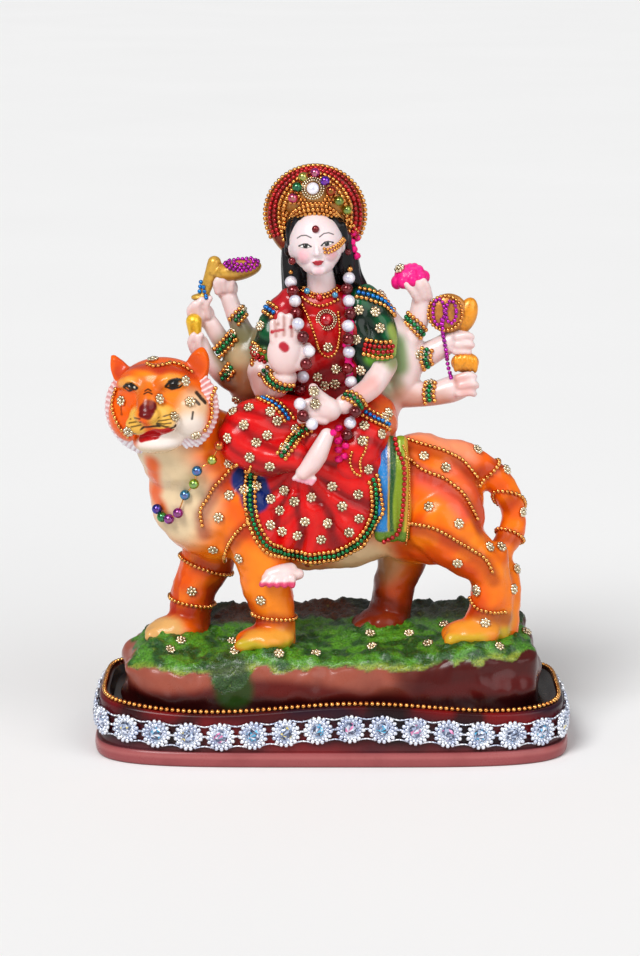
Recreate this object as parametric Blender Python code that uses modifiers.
"""A painted resin Durga on her tiger, cast in one with its grassy mound and plinth, and the trims glued on.

The origin is the centre of the plinth's underside. +X is to the viewer's right, +Y away from the viewer and
+Z up. Places and sizes in the tables are millimetres, and each function turns them into metres as it builds.
"""

import math

import bmesh
import bpy
from mathutils import Euler, Matrix, Vector, noise
from mathutils.bvhtree import BVHTree

MM = 0.001

# Plinth: half sizes of its outline, and the power that squares the ellipse
PLINTH_HALF_X, PLINTH_HALF_Y = 97.5, 44.5
PLINTH_SQUARENESS = 4.5
PLINTH_SIDES = 44
FOOT_HEIGHT, FOOT_PROUD = 6.4, 2.0
RIM_HEIGHT, RIM_WAVE = 23.6, 1.8
RIM_SLOPE, RIM_WIDTH = 1.8, 2.4
RIM_STATIONS = 42
TRAY_FLOOR = 20.6

# Mound: the rock and grass that stand in the tray
MOUND_HALF_X, MOUND_HALF_Y = 86.0, 35.0
MOUND_BASE = 17.0
MOUND_TOP_FRONT, MOUND_RISE_BACK, MOUND_RISE_RIGHT = 42.0, 0.10, 0.035

# Tiger's head: its middle, how far it turns from the viewer and how far it leans
TIGER_HEAD = (-69.5, -20.0, 150.0)
TIGER_TURN, TIGER_LEAN = math.radians(14), math.radians(5)

# Goddess's head: its middle and its lean
FACE = (-6.3, -6.0, 211.5)
FACE_LEAN = math.radians(6)

# Skirt's panel: its middle, half sizes and how flat its front is, and where its pleats spread, in degrees
SKIRT_X, SKIRT_Y, SKIRT_Z = -7.0, -14.0, 112.0
SKIRT_HALF_WIDTH, SKIRT_DEPTH, SKIRT_DROP, SKIRT_FLATNESS = 30.0, 11.5, 33.0, 0.42
SKIRT_PLEATS, SKIRT_FIRST, SKIRT_LAST = 7, -165, -25

# Goddess's trunk: middle x, height, half width and half depth, from the waist up
TORSO = [(5, 147, 15, 10.5), (3, 156, 14, 9.5), (0.5, 165, 14.5, 9.5), (-1, 174, 16, 10), (-1.5, 182, 17, 9)]

# Fineness of the cast body, and the faces that it keeps
VOXEL = 1.15
CAST_FACES = 3950

# Trims glued to the cast: their clearance, and the sizes of what is strung
GAP = 0.35
VIEWER = -200.0
DEEPEST = 3.0
SETTLING, EVENING, CLEARING = 6, 3, 12
LIFT_STEP, MOST_LIFTS = 0.15, 26
CHAIN_RADIUS = 1.0
PEARL_RADIUS = 2.5
NECKLACE_RADIUS = 2.1
BEAD_NECK, BEAD_END, BEAD_SHOULDER, BEAD_NECK_SIZE = 0.48, 0.3, 0.22, 0.4
BAND_WIDTH, BAND_DEPTH, BAND_FACING = 6.4, 1.9, 0.6
FLOWERS, FLOWER_HALF_HEIGHT, FLOWER_LINK_HALF_HEIGHT = 39, 5.9, 1.5
FLOWER_DEPTH, FLOWER_BELOW_RIM, FLOWER_CLEARANCE = 2.6, 8.8, 0.5
STUD_RADIUS, STUD_DEPTH = 2.4, 1.5
PENDANT_RADIUS, BROOCH_RADIUS, BADGE_DEPTH = 4.2, 4.6, 1.8

# Crown: the middle of its arcs, and how far out each arc of beads lies
CROWN_X, CROWN_Z = -6.8, 222.5
CROWN_GOLD_ARC, CROWN_RED_ARC = 19.6, 16.6
CROWN_FIRST, CROWN_LAST = -25, 205

# Gold ball chains on the tiger, as places (x, z) that each one passes
TIGER_CHAINS = {
    "back_chain_1": [(32, 129.5), (40, 127.5), (46.5, 125.5), (53, 122), (57, 118), (60, 114)],
    "back_chain_2": [
        (30.5, 124.5),
        (36.5, 119.5),
        (44, 116.5),
        (49, 113.5),
        (54, 109.5),
        (57, 104.5),
        (60.5, 97),
    ],
    "back_chain_3": [
        (32, 97.5),
        (38.5, 97.5),
        (45, 95.5),
        (52, 91),
        (58.5, 86.5),
        (63.5, 82.5),
        (66.5, 76.5),
    ],
    "hind_ankle_chain": [(57, 66), (60, 61.5), (65, 60), (70, 59), (73.5, 58.8)],
    "shoulder_chain_1": [(-38.5, 124), (-45, 117), (-48.5, 113), (-51.5, 107.5), (-54, 103), (-53, 95)],
    "shoulder_chain_2": [(-34.5, 99.5), (-40, 93), (-44, 84), (-45, 77)],
    "brow_chain": [(-74.5, 165), (-71.5, 164.5), (-68, 165), (-64.5, 165), (-61, 164), (-57, 161.5)],
    "ruff_chain_right": [(-47.5, 154.5), (-49, 151.5), (-49, 145.5), (-50, 142), (-52, 138.5)],
    "ruff_chain_left": [(-87.5, 154), (-89, 148.5), (-88, 144), (-85.5, 139), (-82, 134.5)],
}

# Rings of gold beads round the tiger's legs and tail: middle, axis and about how far out the beads lie
TIGER_RINGS = {
    "far_leg_ring_upper": ((-54, 10, 73), (0.35, 0, 1), 11),
    "far_leg_ring_lower": ((-59.5, 9.5, 57), (0.2, 0, 1), 9.5),
    "near_leg_ring": ((-24, -15, 57), (0.1, 0, 1), 8.5),
    "tail_ring_1": ((65, 3.4, 114), (0.66, 0.1, -0.75), 6.8),
    "tail_ring_2": ((76, 4, 101), (0.1, 0.9, 1), 6.5),
    "tail_ring_3": ((74.5, 1.5, 87), (0.45, 0.7, 1), 6.5),
}

# Bands of gold and coloured beads on the wrists and the dress, as places (x, z) along the middle of each
BANDS = {
    "bangle_1": [(-40, 172), (-43.5, 168.8), (-47, 165)],
    "bangle_2": [(-36.5, 182), (-38.5, 180), (-40.5, 177.5)],
    "bangle_3": [(-41.5, 158.8), (-44, 156), (-45.5, 154.3)],
    "bangle_4": [(31.5, 179), (35, 176), (38.2, 172)],
    "bangle_5": [(39.6, 166), (38.8, 162.5), (40, 159)],
    "bangle_6": [(41.2, 151.5), (40.2, 148.3), (41, 144)],
    "bangle_7": [(-28, 159.5), (-25.5, 157.2), (-21.5, 155), (-17, 154)],
    "bangle_8": [(5.5, 151.5), (8, 151), (10.5, 149), (12, 146)],
    "skirt_border": [
        (-33, 120),
        (-33.5, 108),
        (-31.5, 97.5),
        (-26, 89),
        (-16, 84.5),
        (-5, 83.5),
        (5.5, 86),
        (13.5, 92.5),
        (18, 102),
        (18, 112),
        (16.5, 117.5),
    ],
    "shin_border": [(-20.3, 128.5), (-18.3, 131), (-15.5, 134), (-11.7, 137), (-7.5, 139)],
    "lap_border": [(-28.5, 149), (-25, 148), (-21.5, 146), (-18.5, 143), (-17, 140.5)],
    "hip_border": [(14, 143), (17.8, 141), (21.5, 139), (24, 137)],
    "shoulder_strip_right": [(11, 191), (17, 189.5), (22, 186.5), (25, 182)],
    "shoulder_strip_left": [(-29.5, 183.5), (-26.5, 184.5), (-23.5, 183)],
    "sleeve_band_right": [(13.5, 169.5), (19, 168.5), (25, 168.5)],
    "sleeve_band_left": [(-32.5, 167), (-30, 165), (-27, 164)],
}

# Strings of single beads on the goddess, as places (x, z)
DRESS_STRINGS = {
    "choker": [(-12, 192.5), (-8.5, 191), (-5, 190.5), (-1.5, 191), (2.5, 192.5)],
    "blouse_chain": [
        (-12, 186),
        (-9.5, 181),
        (-7, 174.5),
        (-5, 167.5),
        (-1.5, 165),
        (2, 167.5),
        (3.5, 176),
        (2.5, 184),
    ],
    "saddle_bead_row": [(26, 131.5), (27.5, 127), (29.5, 121.5), (29.7, 112.5), (29.3, 103.5), (28, 95)],
    "crown_band": [(-17.5, 218), (-15.5, 223), (-11.5, 226), (-6.8, 227), (-2, 226), (1.7, 223), (3.8, 219)],
    "nose_chain": [(5, 213), (2.5, 210.8), (-1.1, 209), (-3.6, 209.4)],
    "mace_beads": [(-52.6, 200.5), (-53.4, 195), (-54.3, 189.5)],
    "purple_strand": [(45.7, 179), (46.5, 172), (47.5, 165), (48.3, 159), (50, 153)],
}

# Large strung beads: the number in each string and its route
PEARL_STRINGS = {
    "pearl_string_left": (7, [(-16.5, 195), (-15.5, 188), (-14.5, 180), (-11, 168), (-10.5, 163)]),
    "pearl_string_right": (7, [(6.7, 197), (6.7, 190), (6.9, 180), (7, 168), (7, 162)]),
}
NECKLACE_BEADS = 9
NECKLACE_ROUTE = [
    (-46.5, 129.5),
    (-50, 124),
    (-56, 116),
    (-60.5, 109),
    (-63.5, 102),
    (-67.5, 98.5),
    (-71, 99),
    (-73, 102),
]

# Flower studs that are large enough to be solids here, as places (x, z)
STUDS = [
    (38, 124),
    (52, 98.5),
    (40, 105),
    (52, 81.5),
    (-42, 110),
    (-46.5, 100.5),
    (-49, 85.5),
    (-38, 83.5),
    (60.5, 69),
    (47, 119.5),
]


def clear_scene():
    for obj in list(bpy.data.objects):
        bpy.data.objects.remove(obj, do_unlink=True)


def collection(name):
    made = bpy.data.collections.new(name)
    bpy.context.scene.collection.children.link(made)
    return made


def material(name, colour, roughness, metallic=0.0):
    made = bpy.data.materials.new(name)
    made.use_nodes = True
    shader = made.node_tree.nodes["Principled BSDF"]
    shader.inputs["Base Color"].default_value = (*colour, 1.0)
    shader.inputs["Roughness"].default_value = roughness
    shader.inputs["Metallic"].default_value = metallic
    return made


def add(name, mesh, where, finish):
    obj = bpy.data.objects.new(name, mesh)
    where.objects.link(obj)
    if finish:
        obj.data.materials.append(finish)
    return obj


def mesh_of(name, bm):
    mesh = bpy.data.meshes.new(name)
    bm.to_mesh(mesh)
    bm.free()
    return mesh


def evaluated_mesh(obj):
    graph = bpy.context.evaluated_depsgraph_get()
    return bpy.data.meshes.new_from_object(obj.evaluated_get(graph))


def pour(piece, bm):
    """Adds a finished bmesh to a larger one."""
    mesh = mesh_of("piece", piece)
    bm.from_mesh(mesh)
    bpy.data.meshes.remove(mesh)


def ball(bm, centre, radii, turn=(0, 0, 0), fineness=3, flatness=1.0):
    """An ellipsoid: its centre, radii and turn in degrees. A flatness under 1 squares off its near side."""
    turned = Euler([math.radians(a) for a in turn]).to_matrix().to_4x4()
    place = Matrix.Translation(Vector(centre) * MM) @ turned @ Matrix.Diagonal((*[r * MM for r in radii], 1))
    piece = bmesh.new()
    bmesh.ops.create_icosphere(piece, subdivisions=fineness, radius=1.0)
    for v in piece.verts:
        v.co.y = math.copysign(abs(v.co.y) ** flatness, v.co.y)
    bmesh.ops.transform(piece, matrix=place, verts=piece.verts)
    pour(piece, bm)


def between(p, q, r, s, t):
    """A value on the Catmull-Rom curve from q to r, with p before them and s after."""
    bend = 2 * p - 5 * q + 4 * r - s
    twist = 3 * (q - r) + s - p
    return q + 0.5 * t * (r - p + t * (bend + t * twist))


def smooth_route(points, steps):
    """Points on a curve through the given ones, each with all its values."""
    ends = [points[0], *points, points[-1]]
    made = []
    for four in zip(ends, ends[1:], ends[2:], ends[3:]):
        for k in range(steps):
            made.append(tuple(between(*values, k / steps) for values in zip(*four)))
    return [*made, tuple(float(v) for v in points[-1])]


def limb(bm, stations, steps=4):
    """A rounded limb through stations (x, y, z, radius): overlapping balls with cones between them."""
    route = smooth_route(stations, steps)
    piece = bmesh.new()
    for x, y, z, r in route:
        place = Matrix.Translation(Vector((x, y, z)) * MM)
        bmesh.ops.create_icosphere(piece, subdivisions=2, radius=r * MM, matrix=place)
    for a, b in zip(route, route[1:]):
        p, q = Vector(a[:3]) * MM, Vector(b[:3]) * MM
        if (q - p).length < 1e-5:
            continue
        place = Matrix.Translation((p + q) / 2) @ (q - p).to_track_quat("Z", "Y").to_matrix().to_4x4()
        bmesh.ops.create_cone(
            piece,
            cap_ends=True,
            segments=16,
            radius1=a[3] * MM,
            radius2=b[3] * MM,
            depth=(q - p).length,
            matrix=place,
        )
    pour(piece, bm)


def outline(turn, half_x, half_y):
    """A point of the plinth's rounded oblong outline, at an angle in radians."""
    c, s = math.cos(turn), math.sin(turn)
    reach = (abs(c) ** PLINTH_SQUARENESS + abs(s) ** PLINTH_SQUARENESS) ** (-1 / PLINTH_SQUARENESS)
    return Vector((half_x * reach * c, half_y * reach * s, 0))


def rim_height(x):
    return RIM_HEIGHT + RIM_WAVE * math.cos((x - 12) * math.tau / 128)


def plinth_mesh():
    """The foot, the wall for the flowers, the wavy rim and the sunk tray, as rings of one outline."""
    bm = bmesh.new()
    turns = bm.verts.layers.float.new("turn")
    made = bmesh.ops.create_circle(bm, cap_ends=True, segments=PLINTH_SIDES, radius=1.0)
    for v in made["verts"]:
        v[turns] = math.atan2(v.co.y, v.co.x)
    foot = FOOT_PROUD
    rings = [
        (lambda x: 0, foot - 1.0),
        (lambda x: 1.2, foot),
        (lambda x: FOOT_HEIGHT - 1.4, foot),
        (lambda x: FOOT_HEIGHT, 0.0),
        (lambda x: rim_height(x) - 1.2, 0.0),
        (rim_height, -RIM_SLOPE / 2),
        (rim_height, -RIM_SLOPE - RIM_WIDTH),
        (lambda x: TRAY_FLOOR, -RIM_SLOPE - RIM_WIDTH - 1.6),
    ]
    cap = bm.faces[:][0] if len(bm.faces) else None
    for number, (height, grow) in enumerate(rings):
        if number:
            grown = bmesh.ops.extrude_face_region(bm, geom=[cap])["geom"]
            if number > 1:
                bmesh.ops.delete(bm, geom=[cap], context="FACES_ONLY")
            cap = next(g for g in grown if isinstance(g, bmesh.types.BMFace))
        for v in cap.verts:
            place = outline(v[turns], PLINTH_HALF_X + grow, PLINTH_HALF_Y + grow)
            place.z = height(place.x)
            v.co = place * MM
    bmesh.ops.recalc_face_normals(bm, faces=bm.faces)
    return mesh_of("plinth", bm)


def mound_top(x, y):
    """Height of the grass, which climbs to the back and to the right and is lumpy."""
    lumps = noise.noise(Vector((x / 16, y / 13, 0.7))) * 2.2 + noise.noise(Vector((x / 7, y / 7, 3.1))) * 0.5
    ridge = 4.0 * max(0.0, (y - 16) / 18) ** 2
    return MOUND_TOP_FRONT + MOUND_RISE_BACK * (y + MOUND_HALF_Y) + MOUND_RISE_RIGHT * x + lumps + ridge


def mound(bm):
    """A lumpy block of rock whose top is the grass and whose sides fall a little inwards."""
    block = bmesh.new()
    bmesh.ops.create_cube(block, size=2.0)
    bmesh.ops.subdivide_edges(block, edges=block.edges[:], cuts=30, use_grid_fill=True)
    for v in block.verts:
        reach = max(abs(v.co.x), abs(v.co.y))
        turn = math.atan2(v.co.y, v.co.x)
        flat = outline(turn, 1, 1) * reach
        x, y = flat.x * MOUND_HALF_X, flat.y * MOUND_HALF_Y
        wobble = 1 + 0.045 * noise.noise(Vector((3 * math.cos(turn), 3 * math.sin(turn), v.co.z)))
        level = (v.co.z + 1) / 2
        top = mound_top(x, y) - 5.0 * max(0.0, (reach - 0.86) / 0.14) ** 2
        z = MOUND_BASE + (top - MOUND_BASE) * level
        lean = 1 + 0.02 * math.sin(level * math.pi) - 0.015 * level
        v.co = Vector((x * wobble * lean, y * wobble * lean, z)) * MM
    pour(block, bm)


def head_place(middle, turn, lean):
    """A function from a head's own (right, forward, up) millimetres to the part's."""
    right = Vector((math.cos(turn), -math.sin(turn), 0))
    forward = Vector((-math.sin(turn), -math.cos(turn), 0))
    up = Vector((0, 0, 1))
    leant_right = right * math.cos(lean) + up * math.sin(lean)
    leant_up = up * math.cos(lean) - right * math.sin(lean)
    start = Vector(middle)
    return lambda a, b, c: tuple(start + leant_right * a + forward * b + leant_up * c)


def tiger_body(bm):
    ball(bm, (-47, -3, 108), (29, 21, 30), (0, 14, 0))
    ball(bm, (-5, 0, 103), (50, 20, 30.5))
    ball(bm, (37, 0, 103), (27, 21, 28))
    ball(bm, (44, -11, 98), (20, 11, 21), (0, 25, 0))
    ball(bm, (42, 11, 98), (20, 10, 21), (0, 25, 0))
    ball(bm, (-38, -12, 103), (18, 11, 23))
    limb(bm, [(-38, 0, 116, 21), (-57, -6, 124, 21), (-66, -14, 138, 17)])


def tiger_legs(bm):
    limb(bm, [(-48, 8, 100, 14), (-52, 10, 76, 11.5), (-58, 10, 63, 9.6), (-60, 9, 52, 9), (-61, 8, 44, 9.5)])
    ball(bm, (-66, 3, 46), (12, 9, 5.5))
    limb(
        bm,
        [
            (-34, -13, 104, 14),
            (-30, -16, 88, 12.5),
            (-26, -16, 68, 10.2),
            (-24, -15, 56, 8.2),
            (-24, -15, 46, 9),
        ],
    )
    ball(bm, (-27, -19, 48), (12, 9.5, 5.5))
    limb(bm, [(32, 11, 95, 14), (31, 12, 78, 11), (26.5, 12, 61, 8.6), (25, 12, 50, 9), (25, 12, 43, 10)])
    ball(bm, (21, 7, 48), (11, 9, 5.5))
    limb(
        bm,
        [
            (45, -12, 96, 16),
            (55, -14, 85, 11.5),
            (65, -14, 75, 8.5),
            (65, -14, 62, 7.6),
            (62, -14, 50, 8.5),
        ],
    )
    limb(bm, [(69, -12, 82, 5), (69, -12, 72, 6.5), (69, -12, 58, 6.5), (69, -12, 48, 6.5)])
    ball(bm, (59, -18, 50), (12, 8.5, 5.5))


def tiger_tail(bm):
    limb(
        bm,
        [
            (50, 1, 119, 9.5),
            (61, 3, 116.5, 7.2),
            (70, 4, 109.5, 6),
            (76, 4, 100, 5.4),
            (76.5, 3, 91, 5.4),
            (73, 0, 84, 5.8),
            (70, -3, 79, 5.8),
            (73.5, -5, 71, 5.4),
            (74.5, -6, 62, 5.2),
            (73, -7, 48, 5.8),
        ],
    )


def tiger_head(bm):
    at = head_place(TIGER_HEAD, TIGER_TURN, TIGER_LEAN)
    face_turn = (0, -math.degrees(TIGER_LEAN), -math.degrees(TIGER_TURN))
    ball(bm, at(0, 0, 2), (19.5, 16, 14.5), face_turn)
    ball(bm, at(0, 8, 8), (15, 9, 7.5), face_turn)
    ball(bm, at(0, 12, -5), (10.5, 10.5, 8), face_turn)
    ball(bm, at(0, 10, -16), (10.5, 9, 5.2), face_turn)
    limb(bm, [(*at(0, 12, 6), 6), (*at(0, 18, 1), 5), (*at(0, 20.5, -2.5), 4.2)])
    for side in (-1, 1):
        ball(bm, at(12.5 * side, 3, -6), (9.5, 11, 11.5), face_turn)
        ball(bm, at(5 * side, 16.5, -8), (6, 5, 4.4), face_turn)
        limb(bm, [(*at(15 * side, -1, 8), 5.5), (*at(17.5 * side, -1, 14), 4.6), (*at(19 * side, -1, 18), 2)])
        limb(
            bm,
            [
                (*at(18 * side, -5, 6), 4),
                (*at(22 * side, -4, -3), 3.2),
                (*at(20 * side, -2, -13), 3.2),
                (*at(12 * side, 2, -20), 3),
            ],
        )


def goddess_legs(bm):
    limb(
        bm,
        [
            (0, -3, 136, 13),
            (-18, -12, 136.5, 13),
            (-32, -18, 136.5, 12),
            (-37, -22, 131, 9),
            (-26, -26, 126, 8),
        ],
    )
    limb(bm, [(-26, -26, 126, 8), (-16, -29, 127, 6.5), (-8, -31, 130, 5)])
    limb(bm, [(-2, -31.5, 136.5, 3), (-4.8, -32.4, 130.5, 4), (-8.3, -33, 125, 4.2), (-13, -33.6, 120.8, 3.4)])
    limb(bm, [(14, -3, 137, 13.5), (11, -15, 129, 11), (4, -17, 114, 8)])
    limb(bm, [(-13, -21, 86, 4.6), (-19, -25, 80, 4.4)])
    ball(bm, (-20.8, -26.5, 78), (8.6, 5, 4.6))


def skirt_y(x, z):
    """The near side of the skirt's panel, which is nearly flat and turns under at its hem."""
    spread = ((x - SKIRT_X) / SKIRT_HALF_WIDTH) ** 2 + ((z - SKIRT_Z) / SKIRT_DROP) ** 2
    return SKIRT_Y - SKIRT_DEPTH * math.sqrt(max(0.02, 1 - spread)) ** SKIRT_FLATNESS


def skirt(bm):
    """A panel that falls from the lap over the tiger's flank, with pleats that spread to its hem."""
    middle = (SKIRT_X, SKIRT_Y, SKIRT_Z)
    radii = (SKIRT_HALF_WIDTH, SKIRT_DEPTH, SKIRT_DROP)
    ball(bm, middle, radii, fineness=4, flatness=SKIRT_FLATNESS)
    for number in range(SKIRT_PLEATS):
        turn = math.radians(SKIRT_FIRST + (SKIRT_LAST - SKIRT_FIRST) * number / (SKIRT_PLEATS - 1))
        fold = []
        for share in (0.25, 0.5, 0.75, 0.92):
            x = SKIRT_X + share * SKIRT_HALF_WIDTH * math.cos(turn)
            z = SKIRT_Z + share * SKIRT_DROP * math.sin(turn)
            fold.append((x, skirt_y(x, z) + 1.4, z, 2.9))
        limb(bm, fold, steps=3)


def saddle_cloth(bm):
    """A strip that hangs down the tiger's flank behind the rider."""
    for x in (19.5, 24, 28.5):
        limb(
            bm,
            [
                (x, -14, 130, 3),
                (x + 0.5, -19, 119, 3),
                (x + 1.5, -20.5, 104, 3),
                (x + 1, -19.5, 92, 3),
            ],
            steps=3,
        )


def goddess_torso(bm):
    ball(bm, (6, 0, 137), (18, 14, 13))
    for x, z, wide, deep in TORSO:
        ball(bm, (x, 0, z), (wide, deep, 12))
    for side in (-1, 1):
        ball(bm, (-0.5 + 7 * side, -8, 175), (6.5, 4.5, 6.5))
    limb(bm, [(-3.5, 0, 188, 6.5), (-5, -2, 200, 5.4)])
    ball(bm, (14.5, 1, 136), (13.5, 13, 10))
    ball(bm, (-14, -3, 160), (10, 8, 15))
    ball(bm, (-33, 4, 158), (11, 6.5, 14))
    ball(bm, (11, -2, 160), (9, 8, 15))


def goddess_front_arms(bm):
    limb(
        bm,
        [
            (-19, 0, 184, 7),
            (-26, -2, 173, 8.5),
            (-28, -5, 158, 7),
            (-26, -10, 151, 5.5),
            (-19, -19, 158, 4.8),
        ],
    )
    ball(bm, (-18.8, -22.5, 168.5), (7.6, 3.4, 9))
    for x, top in ((-23.8, 181), (-20.6, 184), (-17.3, 183.5), (-14.2, 181)):
        limb(bm, [(x * 0.8 - 3.7, -22.5, 172, 2.2), (x, -22, top, 1.7)], steps=2)
    limb(
        bm,
        [
            (14, 0, 185, 8),
            (20.5, -2, 175, 9.5),
            (21.5, -5, 161, 5.8),
            (16, -14, 153, 5),
            (5, -23, 147.5, 4),
        ],
    )
    ball(bm, (-3.5, -26, 146.5), (7.5, 4.5, 5.6), (0, 15, 0))
    limb(bm, [(-4, -26, 149, 3), (-8, -27, 153, 2.6)], steps=2)


def goddess_back_arms(bm):
    limb(bm, [(-16, 4, 180, 8), (-26, 5, 169, 8), (-35, 5, 158, 7.5), (-36, 5, 150, 7)])
    limb(bm, [(-36, 5, 158, 6), (-42, 6, 165, 4.8), (-46, 6, 169.5, 4), (-50, 6, 176, 4)])
    ball(bm, (-53.5, 6, 180), (5.4, 3.2, 5.6), (0, -35, 0))
    limb(bm, [(-33, 5, 164, 6), (-37, 6, 173, 4.6), (-40, 6, 180, 3.9), (-42.5, 6, 187, 4)])
    ball(bm, (-43.5, 6, 191), (4.8, 3.2, 5.4))
    limb(
        bm,
        [
            (-36, 4, 152, 6),
            (-42, 3, 153, 4.6),
            (-47, 2, 157, 3.9),
            (-51.5, 1, 163, 3.7),
            (-54.5, 1, 169, 3.9),
        ],
    )
    limb(bm, [(18, 4, 180, 8), (26, 5, 170, 8), (30, 5, 160, 8), (28, 5, 150, 7.5)])
    limb(bm, [(28, 5, 166, 7), (33, 6, 172, 5.6), (36, 6, 178, 4.6), (37.5, 6, 186, 4.6)])
    limb(bm, [(31, 5, 161, 7), (37, 6, 162, 5.8), (43, 6, 165, 5), (50, 6, 169, 4.8), (53.5, 6, 170.5, 5)])
    limb(bm, [(22, 5, 149, 8), (28, 5, 147.5, 6.6), (35, 4, 147, 5.6), (42, 4, 147, 5), (50, 4, 149, 6), (55, 3, 151, 5.4)])
    limb(bm, [(25, 4, 146, 6), (21.5, 3, 137, 6), (20, 2, 126, 7)])


def held_things(bm):
    """Mace, conch, lotus, trident head and bell: cast with the hands that hold them."""
    limb(bm, [(-54, 5, 186, 2.4), (-51, 5, 194, 2.8), (-48.5, 5, 202, 2.4)], steps=2)
    ball(bm, (-54, 5, 187.5), (4.5, 3, 1.8))
    ball(bm, (-39, 4, 199), (10.5, 5, 4.5), (0, -12, 0))
    limb(bm, [(-56.5, 1, 172, 2.6), (-57, 1, 178, 3.4)], steps=2)
    ball(bm, (32.5, 5, 195.5), (8.2, 6.5, 6), (0, 20, 0))
    ball(bm, (48.5, 4, 181), (8.5, 3.5, 8.5))
    ball(bm, (56, 5, 180), (4.5, 3.5, 8), (0, 18, 0))
    ball(bm, (55.5, 3, 160.5), (6, 4, 4.4))


def goddess_head(bm):
    at = head_place(FACE, 0.0, FACE_LEAN)
    turn = (0, -math.degrees(FACE_LEAN), 0)
    ball(bm, at(0, 1.5, 0.5), (11, 10, 12.5), turn)
    ball(bm, at(0, 3.8, -7), (7.2, 6.5, 5.8), turn)
    limb(bm, [(*at(0, 10.4, 2.5), 1.5), (*at(0, 12, -2), 1.8)], steps=2)
    ball(bm, at(0, -4, 4), (13, 11.5, 12), turn)


def hair(bm):
    limb(bm, [(-6, 5, 212, 11), (-4, 8, 195, 9.5), (0, 9.5, 180, 9.5), (3, 9.5, 163, 8.5), (5, 9, 150, 6)])
    limb(bm, [(5, 0, 209, 5), (7, 2, 199, 5), (11, 3, 191, 4.8), (14, 3, 186, 4)])
    limb(bm, [(-16, 3, 208, 4.6), (-16, 3, 200, 5), (-15.5, 3, 190, 5)])


def crown(bm):
    """A fan-shaped crown: a thick half-dome behind the brow with a bulged front."""
    ball(bm, (-6.8, 3, 222.5), (21, 8.5, 21.5))
    ball(bm, (-6.5, -4, 226), (15.5, 9, 11.5))


def cast_form():
    """All the forms of the cast above the plinth, still as overlapping shapes."""
    bm = bmesh.new()
    for build in (
        mound,
        tiger_body,
        tiger_legs,
        tiger_tail,
        tiger_head,
        goddess_legs,
        skirt,
        saddle_cloth,
        goddess_torso,
        goddess_front_arms,
        goddess_back_arms,
        held_things,
        goddess_head,
        hair,
        crown,
    ):
        build(bm)
    return mesh_of("form", bm)


def cast_figure(where, helpers):
    """Fuses the overlapping forms into one skin, thins it to its faces and joins it to the plinth."""
    form = add("form", cast_form(), helpers, None)
    fuse = form.modifiers.new("fuse", "REMESH")
    fuse.mode = "VOXEL"
    fuse.voxel_size = VOXEL * MM
    soften = form.modifiers.new("soften", "SMOOTH")
    soften.factor = 0.5
    soften.iterations = 4
    fused = evaluated_mesh(form)
    fused.calc_loop_triangles()
    body = add("body", fused, helpers, None)
    thin = body.modifiers.new("thin", "DECIMATE")
    thin.ratio = CAST_FACES / len(fused.loop_triangles)
    thinned = evaluated_mesh(body)
    bpy.data.objects.remove(form)
    bpy.data.objects.remove(body)
    top = add("figure_top", thinned, helpers, None)
    top.hide_render = True
    top.display_type = "WIRE"
    figure = add("cast_figure", plinth_mesh(), where, material("painted_resin", (0.75, 0.25, 0.08), 0.35))
    join = figure.modifiers.new("join", "BOOLEAN")
    join.operation = "UNION"
    join.object = top
    joined = evaluated_mesh(figure)
    figure.modifiers.clear()
    figure.data = joined
    figure.data.materials.clear()
    figure.data.materials.append(bpy.data.materials["painted_resin"])
    bpy.data.objects.remove(top)
    return figure


def tree_of(obj):
    """The surface of a finished piece, to lay the next pieces on."""
    mesh = evaluated_mesh(obj)
    tree = BVHTree.FromPolygons([v.co for v in mesh.vertices], [p.vertices for p in mesh.polygons])
    bpy.data.meshes.remove(mesh)
    return tree


def settle(place, reach, trees):
    """Moves a point out until it clears every piece laid so far. One inside a form comes out of it first."""
    for _ in range(SETTLING):
        for tree in trees:
            near, normal, _, distance = tree.find_nearest(place)
            away = place - near
            if distance < DEEPEST * MM and away.dot(normal) < -0.3 * distance:
                place = near + normal * reach
            elif distance < reach:
                place = near + (away.normalized() if distance > 1e-6 else normal) * reach
    return place


def front_places(route, reach, trees):
    """Points of the route on the front of the cast, raised by the reach. A gap is bridged straight."""
    hits = []
    for x, z in route:
        found = trees[0].ray_cast(Vector((x, VIEWER, z)) * MM, Vector((0, 1, 0)))
        hits.append(found[0] + found[1] * reach if found[0] else None)
    known = [k for k, hit in enumerate(hits) if hit]
    places = []
    for k, (x, z) in enumerate(route):
        before = max((j for j in known if j <= k), default=known[0])
        after = min((j for j in known if j >= k), default=known[-1])
        share = (k - before) / (after - before) if after > before else 0
        y = hits[before].y * (1 - share) + hits[after].y * share
        places.append(hits[k] if hits[k] else Vector((x * MM, y, z * MM)))
    places = [settle(place, reach, trees) for place in places]
    for _ in range(EVENING):
        places = [settle(place, reach, trees) for place in evened(places)]
    return places


def clear_line(places, reach, trees, closed=False):
    """Moves the ends of each straight stretch out until the stretch too clears every piece laid so far."""
    count = len(places)
    for _ in range(CLEARING):
        moved = False
        for k in range(count if closed else count - 1):
            j = (k + 1) % count
            for share in (0.25, 0.5, 0.75):
                middle = places[k].lerp(places[j], share)
                push = settle(middle, reach, trees) - middle
                if push.length > 1e-6:
                    places[k] = places[k] + push
                    places[j] = places[j] + push
                    moved = True
        if not moved:
            break
    return places


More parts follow.
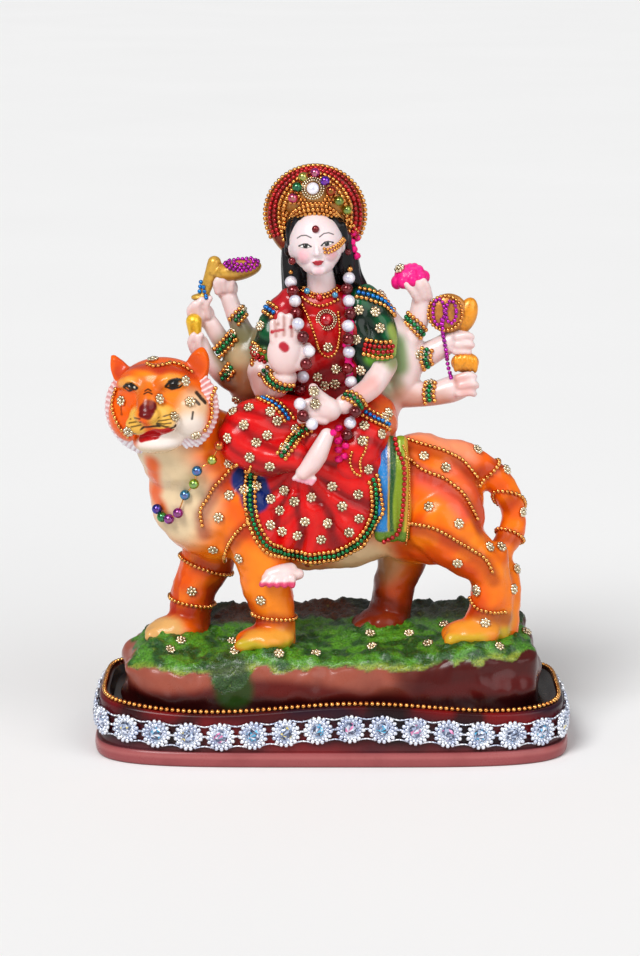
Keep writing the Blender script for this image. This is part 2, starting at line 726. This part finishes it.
def tube(name, places, radius, where, finish, closed=False, swell=None, sides=0):
    """A string of beads as a thin rod through the places. It swells where a size for each place is given."""
    curve = bpy.data.curves.new(name, "CURVE")
    curve.dimensions = "3D"
    curve.bevel_depth = radius
    curve.bevel_resolution = sides
    curve.use_fill_caps = not closed
    spline = curve.splines.new("POLY")
    spline.points.add(len(places) - 1)
    spline.use_cyclic_u = closed
    for point, place, size in zip(spline.points, places, swell or [1.0] * len(places)):
        point.co = (*place, 1.0)
        point.radius = size
    return add(name, curve, where, finish)


def laid(build, trees):
    """Builds a piece again, each time a little further out, until it cuts none of those laid so far."""
    for number in range(MOST_LIFTS):
        made = build(GAP + number * LIFT_STEP)
        tree = tree_of(made)
        if not any(tree.overlap(other) for other in trees):
            break
        if number < MOST_LIFTS - 1:
            bpy.data.objects.remove(made)
    trees.append(tree)
    return made


def string(name, route, radius, steps, trees, where, finish):
    """A string of small beads laid on the front of the cast."""
    fine = smooth_route(route, steps)

    def build(gap):
        reach = (radius + gap) * MM
        places = clear_line(front_places(fine, reach, trees), reach, trees)
        return tube(name, places, radius * MM, where, finish)

    laid(build, trees)


def bead_string(name, count, route, radius, trees, where, finish):
    """A string of large beads: a rod that swells at each bead and narrows where two of them meet."""
    fine = stations_along(smooth_route(route, 8), count, closed=False)

    def build(gap):
        reach = (radius + gap) * MM
        centres = clear_line(front_places(fine, reach, trees), reach, trees)
        places, sizes = [], []
        for k, centre in enumerate(centres):
            before = centres[k - 1] if k else centre * 2 - centres[1]
            after = centres[k + 1] if k < count - 1 else centre * 2 - centres[k - 1]
            places.append(centre.lerp(before, BEAD_NECK if k else BEAD_END))
            places += [centre.lerp(before, BEAD_SHOULDER), centre.lerp(after, BEAD_SHOULDER)]
            sizes += [BEAD_NECK_SIZE, 1.0, 1.0]
        places.append(centres[-1].lerp(after, BEAD_END))
        sizes.append(BEAD_NECK_SIZE)
        return tube(name, places, radius * MM, where, finish, swell=sizes, sides=1)

    laid(build, trees)


def ring(name, middle, axis, about, radius, trees, where, finish, points=9):
    """A string of beads closed round a limb, which follows the limb's own section."""
    centre = Vector(middle) * MM
    along = Vector(axis).normalized()
    across = along.orthogonal().normalized()
    reach = (radius + GAP * 1.5) * MM
    places = []
    for k in range(points):
        out = Matrix.Rotation(math.tau * k / points, 3, along) @ across
        found = trees[0].ray_cast(centre, out, about * 1.5 * MM)
        reached = found[0] if found[0] else centre + out * (about * MM)
        places.append(settle(reached + out * reach, reach, trees))
    places = clear_line(places, (radius + GAP) * MM, trees, closed=True)
    made = tube(name, places, radius * MM, where, finish, closed=True)
    trees.append(tree_of(made))


def evened(values):
    """The values along a line, each drawn towards its neighbours. The ends stay."""
    middles = [(a + b * 2 + c) / 4 for a, b, c in zip(values, values[1:], values[2:])]
    return [values[0], *middles, values[-1]]


def band_sections(places, trees):
    """The directions across and out of a band at each of its places, turning gently from one to the next."""
    outs = []
    for place in places:
        _, normal, _, _ = trees[0].find_nearest(place)
        outs.append((normal + Vector((0, -BAND_FACING, 0))).normalized())
    for _ in range(EVENING):
        outs = evened(outs)
    sections = []
    for k, out in enumerate(outs):
        along = places[min(k + 1, len(places) - 1)] - places[max(k - 1, 0)]
        side = out.cross(along).normalized()
        sections.append((side, along.cross(side).normalized()))
    return sections


def band(name, route, steps, trees, where, finish):
    """Rows of beads side by side, as one flat band that lies on the front of the cast."""
    lift = (BAND_DEPTH / 2 + GAP) * MM
    places = clear_line(front_places(smooth_route(route, steps), lift, trees), lift, trees)
    sections = band_sections(places, trees)
    edges = []
    for share in (-1, 1):
        edge = [place + side * (share * BAND_WIDTH / 2 * MM) for place, (side, _) in zip(places, sections)]
        for _ in range(EVENING):
            edge = evened([settle(place, lift, trees) for place in edge])
        edges.append(edge)
    bm = bmesh.new()
    bmesh.ops.create_cube(bm, size=2.0)
    long_edges = [e for e in bm.edges if abs(e.verts[0].co.x - e.verts[1].co.x) > 1]
    bmesh.ops.subdivide_edges(bm, edges=long_edges, cuts=len(places) - 2)
    for v in bm.verts:
        k = round((v.co.x + 1) / 2 * (len(places) - 1))
        _, out = sections[k]
        v.co = edges[v.co.y > 0][k] + out * (v.co.z * BAND_DEPTH / 2 * MM)
    lift_clear(bm, trees)
    made = add(name, mesh_of(name, bm), where, finish)
    trees.append(tree_of(made))


def lift_clear(bm, trees):
    """Raises a band or badge a little towards the viewer until it cuts nothing."""
    for _ in range(MOST_LIFTS):
        own = BVHTree.FromBMesh(bm)
        if not any(own.overlap(tree) for tree in trees):
            break
        bmesh.ops.translate(bm, vec=Vector((0, -LIFT_STEP * MM, 0)), verts=bm.verts)


def badge(name, place, radius, depth, sides, trees, where, finish):
    """A round stud or pendant that lies flat on the front of the cast."""
    x, z = place
    near, normal, _, _ = trees[0].ray_cast(Vector((x, VIEWER, z)) * MM, Vector((0, 1, 0)))
    out = (normal + Vector((0, -0.3, 0))).normalized()
    turn = out.to_track_quat("Z", "Y").to_matrix().to_4x4()
    bm = bmesh.new()
    bmesh.ops.create_cone(
        bm,
        cap_ends=True,
        segments=sides,
        radius1=radius * MM,
        radius2=radius * 0.8 * MM,
        depth=depth * MM,
        matrix=Matrix.Translation(near + out * ((depth / 2 + GAP) * MM)) @ turn,
    )
    lift_clear(bm, trees)
    made = add(name, mesh_of(name, bm), where, finish)
    trees.append(tree_of(made))


def stations_along(points, count, closed=True):
    """Equally spaced points on a line through the given ones."""
    line = [Vector(p) for p in points]
    if closed:
        line.append(line[0])
    lengths = [0.0]
    for a, b in zip(line, line[1:]):
        lengths.append(lengths[-1] + (b - a).length)
    made = []
    for k in range(count):
        goal = lengths[-1] * k / (count if closed else count - 1)
        j = next((i for i in range(1, len(lengths)) if lengths[i] >= goal - 1e-9), len(lengths) - 1)
        share = (goal - lengths[j - 1]) / max(lengths[j] - lengths[j - 1], 1e-9)
        made.append(line[j - 1].lerp(line[j], share))
    return made


def rim_chain(where, finish):
    inset = RIM_SLOPE / 2 + RIM_WIDTH / 2
    turns = [math.tau * k / 240 for k in range(240)]
    rim = [outline(turn, PLINTH_HALF_X - inset, PLINTH_HALF_Y - inset) for turn in turns]
    places = stations_along(rim, RIM_STATIONS)
    for place in places:
        place.z = rim_height(place.x) + CHAIN_RADIUS + GAP
    return tube("rim_chain", [p * MM for p in places], CHAIN_RADIUS * MM, where, finish, closed=True)


def flower_band(where, finish):
    """Flowers round the wall, linked into one strip: each is two wide stations and a narrow link."""
    reach = FLOWER_CLEARANCE
    walls = [outline(math.tau * k / 360, PLINTH_HALF_X + reach, PLINTH_HALF_Y + reach) for k in range(360)]
    places = stations_along(walls, FLOWERS * 3)
    bm = bmesh.new()
    made = bmesh.ops.create_circle(bm, segments=len(places), radius=1.0)
    lower = made["verts"]
    edges = list({e for v in lower for e in v.link_edges})
    grown = bmesh.ops.extrude_edge_only(bm, edges=edges)
    upper = [g for g in grown["geom"] if isinstance(g, bmesh.types.BMVert)]
    for row, sign in ((lower, -1), (upper, 1)):
        for k, v in enumerate(sorted(row, key=lambda v: math.atan2(v.co.y, v.co.x))):
            half = FLOWER_LINK_HALF_HEIGHT if k % 3 == 1 else FLOWER_HALF_HEIGHT
            middle = rim_height(places[k - (1, 2, 0)[k % 3]].x) - FLOWER_BELOW_RIM
            v.co = (places[k].x * MM, places[k].y * MM, (middle + sign * half) * MM)
    bm.normal_update()
    bm.faces.ensure_lookup_table()
    if bm.faces[0].normal.dot(bm.faces[0].calc_center_median()) < 0:
        bmesh.ops.reverse_faces(bm, faces=bm.faces)
    strip = add("flower_band", mesh_of("flower_band", bm), where, finish)
    thicken = strip.modifiers.new("thickness", "SOLIDIFY")
    thicken.thickness = FLOWER_DEPTH * MM
    thicken.offset = 1.0
    return strip


def trims(figure, where):
    gold = material("gold_beads", (0.75, 0.47, 0.12), 0.25, 1.0)
    green = material("green_beads", (0.01, 0.25, 0.10), 0.25, 0.6)
    red = material("dark_red_beads", (0.30, 0.01, 0.02), 0.2, 0.3)
    pearl = material("pearl", (0.85, 0.83, 0.88), 0.2)
    silver = material("silver_flowers", (0.75, 0.77, 0.8), 0.25, 0.9)
    purple = material("purple_beads", (0.35, 0.02, 0.30), 0.25, 0.5)
    blue = material("blue_beads", (0.01, 0.18, 0.45), 0.25, 0.5)
    mixed = material("metallic_beads", (0.2, 0.3, 0.35), 0.2, 0.8)
    rim_chain(where, gold)
    flower_band(where, silver)
    trees = [tree_of(figure)]
    for name, route in TIGER_CHAINS.items():
        string(name, route, CHAIN_RADIUS, 2, trees, where, gold)
    for name, (middle, axis, about) in TIGER_RINGS.items():
        ring(name, middle, axis, about, CHAIN_RADIUS, trees, where, gold)
    for name, route in BANDS.items():
        band(name, route, 2, trees, where, green)
    for sign, (name, reach, finish) in enumerate(
        (("crown_gold_arc", CROWN_GOLD_ARC, gold), ("crown_red_arc", CROWN_RED_ARC, red))
    ):
        turns = [math.radians(CROWN_FIRST + (CROWN_LAST - CROWN_FIRST) * k / 8) for k in range(9)]
        arc = [(CROWN_X + reach * math.cos(t), CROWN_Z + reach * math.sin(t)) for t in turns]
        string(name, arc, CHAIN_RADIUS, 2, trees, where, finish)
    badge("crown_brooch", (-7.4, 233.5), BROOCH_RADIUS, BADGE_DEPTH, 10, trees, where, pearl)
    badge("pendant", (-2.3, 180), PENDANT_RADIUS, BADGE_DEPTH, 10, trees, where, red)
    finishes = {"saddle_bead_row": red, "mace_beads": blue, "purple_strand": purple}
    for name, (count, route) in PEARL_STRINGS.items():
        bead_string(name, count, route, PEARL_RADIUS, trees, where, pearl)
    bead_string("tiger_necklace", NECKLACE_BEADS, NECKLACE_ROUTE, NECKLACE_RADIUS, trees, where, mixed)
    for name, route in DRESS_STRINGS.items():
        string(name, route, CHAIN_RADIUS * 0.9, 2, trees, where, finishes.get(name, gold))
    for number, place in enumerate(STUDS, start=1):
        badge(f"stud_{number:02d}", place, STUD_RADIUS, STUD_DEPTH, 6, trees, where, gold)


def main():
    clear_scene()
    parts = collection("durga_figure")
    helpers = collection("helpers")
    figure = cast_figure(parts, helpers)
    trims(figure, parts)


main()
